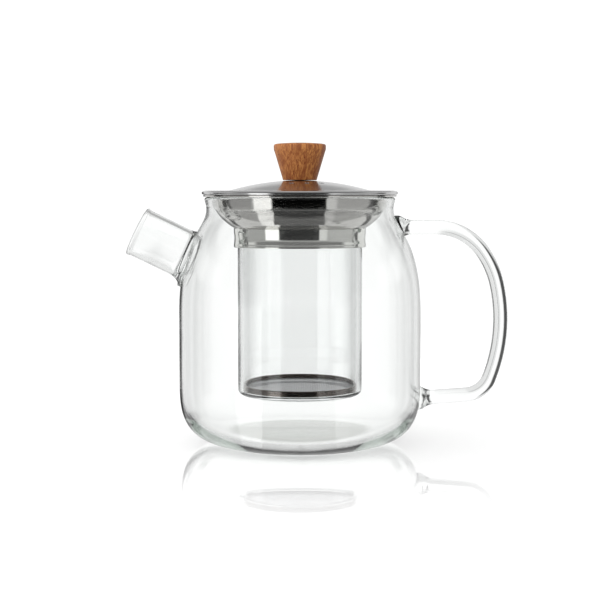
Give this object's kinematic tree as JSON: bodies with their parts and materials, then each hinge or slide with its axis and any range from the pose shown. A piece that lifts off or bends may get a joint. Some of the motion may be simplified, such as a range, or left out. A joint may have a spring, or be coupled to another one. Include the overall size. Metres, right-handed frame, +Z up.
{
  "type": "teapot",
  "caption": "Glass teapot with a loop handle and a short tube spout, a lift-out glass infuser hung in a steel bowl, and a domed steel lid with a tapered wooden knob.",
  "frame": {"origin": "centre of the flat base, on the pot's axis, in the plane that the pot stands on", "axes": "+Z up along the pot's axis; +X towards the handle and -X towards the spout, both in the XZ plane"},
  "size_m": [0.1719, 0.109, 0.1351],
  "materials": {
    "pot_glass": "clear borosilicate",
    "spout_glass": "clear borosilicate",
    "handle_glass": "clear borosilicate rod",
    "tube_glass": "clear borosilicate",
    "bowl_steel": "spun, polished stainless steel",
    "band_steel": "spun, polished stainless steel",
    "ring_steel": "dull stainless steel",
    "mesh_steel": "woven stainless steel",
    "lid_steel": "satin stainless steel",
    "skirt_steel": "satin stainless steel",
    "screw_steel": "bright stainless steel",
    "silicone": "milky silicone",
    "beech": "oiled beech"
  },
  "bodies": {
    "pot": {"pot_body": "pot_glass", "spout": "spout_glass", "handle": "handle_glass"},
    "infuser": {"infuser_bowl": "bowl_steel", "infuser_band": "band_steel", "tube_gasket": "silicone", "infuser_tube": "tube_glass"},
    "strainer": {"strainer_ring": "ring_steel", "strainer_mesh": "mesh_steel"},
    "lid": {"lid_shell": "lid_steel", "lid_skirt": "skirt_steel", "knob": "beech", "knob_screw": "screw_steel", "knob_washer": "screw_steel"}
  },
  "joints": [
    {"name": "infuser_lift", "type": "slide", "parent": "pot", "child": "infuser", "axis": [0, 0, 1], "range_m": [0, 0.1]},
    {"name": "lid_lift", "type": "slide", "parent": "infuser", "child": "lid", "axis": [0, 0, 1], "range_m": [0, 0.04]},
    {"name": "strainer_lift", "type": "slide", "parent": "infuser", "child": "strainer", "axis": [0, 0, 1], "range_m": [0, 0.085]}
  ]
}
